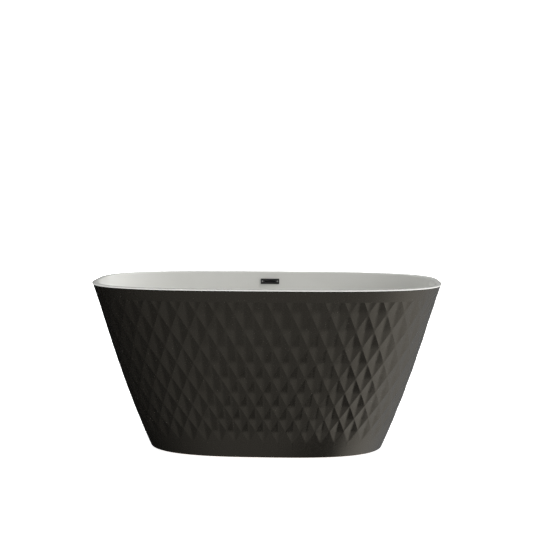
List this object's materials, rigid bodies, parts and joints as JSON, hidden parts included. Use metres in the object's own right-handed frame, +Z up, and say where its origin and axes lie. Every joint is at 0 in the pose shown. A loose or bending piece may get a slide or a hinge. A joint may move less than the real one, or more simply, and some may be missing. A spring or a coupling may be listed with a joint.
{
  "type": "freestanding bathtub",
  "caption": "Oval freestanding bathtub with a diamond-faceted tapering outer shell, thin-rimmed basin, slotted overflow, toe-tap waste and levelling feet.",
  "frame": {"origin": "on the ground under the middle of the tub", "axes": "+X along the length, +Y towards the long side that carries the overflow, +Z up"},
  "size_m": [1.5, 0.75, 0.715],
  "materials": {
    "satin_black_acrylic": "satin moulded acrylic",
    "white_acrylic": "gloss",
    "bond_adhesive": "matt",
    "plywood": "raw plywood",
    "frame_steel": "powder coated",
    "zinc_steel": "zinc plated",
    "black_plastic": "moulded",
    "grey_plastic": "moulded",
    "white_plastic": "moulded",
    "black_rubber": "matt",
    "polished_chrome": "polished",
    "matt_black_metal": "satin black",
    "spring_steel": "drawn wire"
  },
  "bodies": {
    "tub": {"outer_shell": "satin_black_acrylic", "basin": "white_acrylic", "rim_bond": "bond_adhesive", "skirt_base_ring": "plywood", "floor_board": "plywood", "frame_rail_front": "frame_steel", "frame_rail_back": "frame_steel", "frame_cross_left": "frame_steel", "frame_cross_right": "frame_steel", "rail_end_plugs": "black_plastic", "frame_screws": "zinc_steel", "foot_bosses": "frame_steel", "jam_nuts": "zinc_steel", "drain_flange": "polished_chrome", "drain_spider": "polished_chrome", "drain_top_seal": "black_rubber", "drain_bottom_seal": "black_rubber", "drain_washer": "white_plastic", "drain_lock_nut": "grey_plastic", "drain_tee": "white_plastic", "tailpiece": "polished_chrome", "slip_washers": "black_rubber", "tail_slip_nut": "grey_plastic", "inlet_slip_nut": "grey_plastic", "stopper_cartridge": "grey_plastic", "stopper_spring": "spring_steel", "overflow_cover": "matt_black_metal", "overflow_front_gasket": "black_rubber", "overflow_back_gasket": "black_rubber", "overflow_screws": "zinc_steel", "overflow_body": "black_plastic", "overflow_pipe": "white_plastic"},
    "stopper": {"stopper_cap": "polished_chrome", "stopper_seal": "black_rubber", "stopper_stem": "zinc_steel"},
    "foot_pad_1_body": {"foot_pad_1": "black_plastic"},
    "foot_stud_1_body": {"foot_stud_1": "zinc_steel"},
    "foot_pad_2_body": {"foot_pad_2": "black_plastic"},
    "foot_stud_2_body": {"foot_stud_2": "zinc_steel"},
    "foot_pad_3_body": {"foot_pad_3": "black_plastic"},
    "foot_stud_3_body": {"foot_stud_3": "zinc_steel"},
    "foot_pad_4_body": {"foot_pad_4": "black_plastic"},
    "foot_stud_4_body": {"foot_stud_4": "zinc_steel"}
  },
  "joints": [
    {"name": "stopper_lift", "type": "slide", "parent": "tub", "child": "stopper", "axis": [0, 0, 1], "range_m": [0, 0.01], "deforming": ["stopper_spring"]},
    {"name": "foot_1_height", "type": "slide", "parent": "tub", "child": "foot_pad_1_body", "axis": [0, 0, -1], "range_m": [0, 0.015]},
    {"name": "foot_1_screw", "type": "hinge", "parent": "foot_pad_1_body", "child": "foot_stud_1_body", "pos_m": [-0.33, -0.165, 0.04], "axis": [0, 0, -1], "range_deg": [0, 3100]},
    {"name": "foot_2_height", "type": "slide", "parent": "tub", "child": "foot_pad_2_body", "axis": [0, 0, -1], "range_m": [0, 0.015]},
    {"name": "foot_2_screw", "type": "hinge", "parent": "foot_pad_2_body", "child": "foot_stud_2_body", "pos_m": [-0.33, 0.165, 0.04], "axis": [0, 0, -1], "range_deg": [0, 3100]},
    {"name": "foot_3_height", "type": "slide", "parent": "tub", "child": "foot_pad_3_body", "axis": [0, 0, -1], "range_m": [0, 0.015]},
    {"name": "foot_3_screw", "type": "hinge", "parent": "foot_pad_3_body", "child": "foot_stud_3_body", "pos_m": [0.33, -0.165, 0.04], "axis": [0, 0, -1], "range_deg": [0, 3100]},
    {"name": "foot_4_height", "type": "slide", "parent": "tub", "child": "foot_pad_4_body", "axis": [0, 0, -1], "range_m": [0, 0.015]},
    {"name": "foot_4_screw", "type": "hinge", "parent": "foot_pad_4_body", "child": "foot_stud_4_body", "pos_m": [0.33, 0.165, 0.04], "axis": [0, 0, -1], "range_deg": [0, 3100]}
  ],
  "couplings": [
    {"joint": "foot_1_screw", "follows": "foot_1_height", "rad_per_m": 3590.4},
    {"joint": "foot_2_screw", "follows": "foot_2_height", "rad_per_m": 3590.4},
    {"joint": "foot_3_screw", "follows": "foot_3_height", "rad_per_m": 3590.4},
    {"joint": "foot_4_screw", "follows": "foot_4_height", "rad_per_m": 3590.4}
  ]
}
